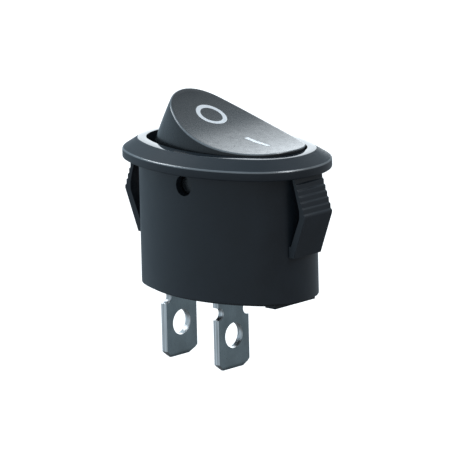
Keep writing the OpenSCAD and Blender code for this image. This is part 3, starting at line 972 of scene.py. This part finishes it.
class SWITCH_OT_works(Operator):
    """Finish the contacts, the see-saw arm and the plunger inside the housing"""
    bl_idname = "rocker_switch.works"
    bl_label = "Inner works"

    FINISH_OF_NODE = {"fixed_contact": "silver_alloy", "moving_contact": "silver_alloy",
                      "contact_arm": "copper_alloy", "plunger": "plunger_nylon"}

    def execute(self, context):
        for node, key in self.FINISH_OF_NODE.items():
            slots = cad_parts[node].material_slots
            if not slots:
                raise RuntimeError("node " + node + " has no material slot")
            for slot in slots:
                slot.material = finish_for(key)
        return {"FINISHED"}


class SWITCH_OT_stage(Operator):
    """Set up the camera, the floor, the soft lights and the surroundings"""
    bl_idname = "rocker_switch.stage"
    bl_label = "Stage"

    FLOOR_REACH, FLOOR_TINT, FLOOR_GLOW = 6.0, 0.6, 0.76
    # The studio brightens towards this side, by levels at shares of the way there.
    BRIGHT_SIDE = (-0.8, 0.0, 0.5)
    LEVELS = ((0.0, 0.16), (0.16, 0.25), (0.45, 0.40), (0.72, 0.47), (0.84, 0.52), (1.0, 0.55))
    # It also grows bluer: red falls and blue rises by these shares.
    RED_FALL, BLUE_RISE = 0.26, 0.2
    # Below the horizon it dims to a share between two heights.
    DIM_END, DIM_START, DIM_SHARE = -0.7, -0.3, 0.25
    LAMP_TINT = (0.955, 1.0, 1.035)
    # Name, direction from the switch, distance, width and height in metres, and radiance.
    LAMPS = (("far_softbox", (-0.615, 0.733, 0.292), 0.5, 0.18, 0.34, 2.0),
             ("back_softbox", (-0.28, 0.68, 0.68), 0.55, 0.30, 0.16, 0.5),
             ("left_softbox", (-0.757, -0.217, 0.616), 0.6, 0.20, 0.26, 4.5),
             ("right_softbox", (0.68, 0.0, 0.70), 0.6, 0.12, 0.40, 3.7),
             ("overhead_softbox", (0.55, 0.15, 0.82), 0.7, 0.40, 0.40, 1.4))

    def execute(self, context):
        stage = context.scene.rocker_switch.stage
        self.camera(context, stage)
        self.floor(stage)
        self.world(context)
        for lamp in self.LAMPS:
            self.softbox(*lamp)
        context.scene.view_settings.view_transform = "Standard"
        return {"FINISHED"}

    def camera(self, context, stage):
        """A distant camera, turned about the switch."""
        data = bpy.data.cameras.new("camera")
        data.sensor_width = 36
        data.lens = stage.lens
        data.clip_start = 0.01
        camera = new_object("camera", data)
        camera.matrix_world = (Matrix.Rotation(stage.azimuth, 4, "Z")
                               @ Matrix.Rotation(QUARTER_TURN - stage.elevation, 4, "X")
                               @ Matrix.Translation((stage.aim_x, stage.aim_y, stage.distance))
                               @ Matrix.Rotation(-stage.roll, 4, "Z"))
        context.scene.camera = camera

    def floor(self, stage):
        """A matt floor that takes the shadow and glows to the camera only."""
        bm = bmesh.new()
        bmesh.ops.create_grid(bm, x_segments=1, y_segments=1, size=self.FLOOR_REACH)
        move(bm, (0, 0, stage.floor_z))
        floor = new_object("floor", new_mesh("floor", bm))
        bm.free()
        material = bpy.data.materials.new("pale_floor")
        material.use_nodes = True
        nodes, link = material.node_tree.nodes, material.node_tree.links.new
        nodes.clear()
        matt = add_node(nodes, "ShaderNodeBsdfDiffuse", Color=(*[self.FLOOR_TINT] * 3, 1))
        glow = add_node(nodes, "ShaderNodeEmission", Color=(*[self.FLOOR_GLOW] * 3, 1))
        path = nodes.new("ShaderNodeLightPath")
        both = nodes.new("ShaderNodeAddShader")
        out = nodes.new("ShaderNodeOutputMaterial")
        link(path.outputs["Is Camera Ray"], glow.inputs["Strength"])
        link(matt.outputs["BSDF"], both.inputs[0])
        link(glow.outputs["Emission"], both.inputs[1])
        link(both.outputs["Shader"], out.inputs["Surface"])
        floor.data.materials.append(material)
        floor.visible_glossy = False

    def world(self, context):
        """White to the eye; a studio that is bright at the upper left and dim below."""
        world = bpy.data.worlds.new("studio")
        context.scene.world = world
        world.use_nodes = True
        nodes, link = world.node_tree.nodes, world.node_tree.links.new
        nodes.clear()
        place = nodes.new("ShaderNodeTexCoord")
        toward = nodes.new("ShaderNodeVectorMath")
        toward.operation = "DOT_PRODUCT"
        toward.inputs[1].default_value = Vector(self.BRIGHT_SIDE).normalized()
        share = add_node(nodes, "ShaderNodeMapRange", From_Min=-1.0, From_Max=1.0)
        ramp = nodes.new("ShaderNodeValToRGB")
        elements = ramp.color_ramp.elements
        ramp.color_ramp.interpolation = "B_SPLINE"
        while len(elements) < len(self.LEVELS):
            elements.new(0.5)
        for element, (spot, level) in zip(elements, self.LEVELS):
            element.position = spot
            element.color = ((1 - self.RED_FALL * spot) * level, level,
                             (1 + self.BLUE_RISE * spot) * level, 1)
        split = nodes.new("ShaderNodeSeparateXYZ")
        below = add_node(nodes, "ShaderNodeMapRange", From_Min=self.DIM_END,
                         From_Max=self.DIM_START, To_Min=self.DIM_SHARE, To_Max=1.0)
        studio = nodes.new("ShaderNodeBackground")
        white = add_node(nodes, "ShaderNodeBackground", Color=(1, 1, 1, 1))
        path = nodes.new("ShaderNodeLightPath")
        pick = nodes.new("ShaderNodeMixShader")
        out = nodes.new("ShaderNodeOutputWorld")
        link(place.outputs["Generated"], toward.inputs[0])
        link(toward.outputs["Value"], share.inputs["Value"])
        link(share.outputs["Result"], ramp.inputs["Fac"])
        link(ramp.outputs["Color"], studio.inputs["Color"])
        link(place.outputs["Generated"], split.inputs["Vector"])
        link(split.outputs["Z"], below.inputs["Value"])
        link(below.outputs["Result"], studio.inputs["Strength"])
        link(path.outputs["Is Camera Ray"], pick.inputs["Fac"])
        link(studio.outputs["Background"], pick.inputs[1])
        link(white.outputs["Background"], pick.inputs[2])
        link(pick.outputs["Shader"], out.inputs["Surface"])

    def softbox(self, name, toward, distance, width, height, radiance):
        """A soft rectangular lamp of a given radiance that faces the switch."""
        data = bpy.data.lights.new(name, "AREA")
        data.shape = "RECTANGLE"
        data.size = width
        data.size_y = height
        data.energy = radiance * math.pi * width * height
        data.color = self.LAMP_TINT
        direction = Vector(toward).normalized()
        place = direction.to_track_quat("Z", "Y").to_matrix().to_4x4()
        place.translation = direction * distance
        new_object(name, data).matrix_world = place


class SWITCH_PT_panel(Panel):
    """Lists the switch's operators in the sidebar"""
    bl_label = "Rocker switch"
    bl_idname = "SWITCH_PT_panel"
    bl_space_type = "VIEW_3D"
    bl_region_type = "UI"
    bl_category = "Switch"

    def draw(self, context):
        for operator in OPERATORS:
            self.layout.operator(operator.bl_idname)


GROUPS = (BezelSizes, LatchSizes, RockerSizes, TerminalSizes, SpringSizes, SwitchColours,
          StageSettings, SwitchSettings)
OPERATORS = (SWITCH_OT_housing, SWITCH_OT_rocker, SWITCH_OT_marks, SWITCH_OT_terminals,
             SWITCH_OT_base, SWITCH_OT_spring, SWITCH_OT_works, SWITCH_OT_stage)


def register():
    for kind in GROUPS + OPERATORS + (SWITCH_PT_panel,):
        bpy.utils.register_class(kind)
    bpy.types.Scene.rocker_switch = PointerProperty(type=SwitchSettings)


def unregister():
    del bpy.types.Scene.rocker_switch
    for kind in reversed(GROUPS + OPERATORS + (SWITCH_PT_panel,)):
        bpy.utils.unregister_class(kind)


def main():
    register()
    bpy.ops.rocker_switch.housing()
    bpy.ops.rocker_switch.rocker()
    bpy.ops.rocker_switch.marks()
    bpy.ops.rocker_switch.terminals()
    bpy.ops.rocker_switch.base()
    bpy.ops.rocker_switch.spring()
    bpy.ops.rocker_switch.works()
    bpy.ops.rocker_switch.stage()
    bpy.context.view_layer.update()


if __name__ == "__main__":
    main()
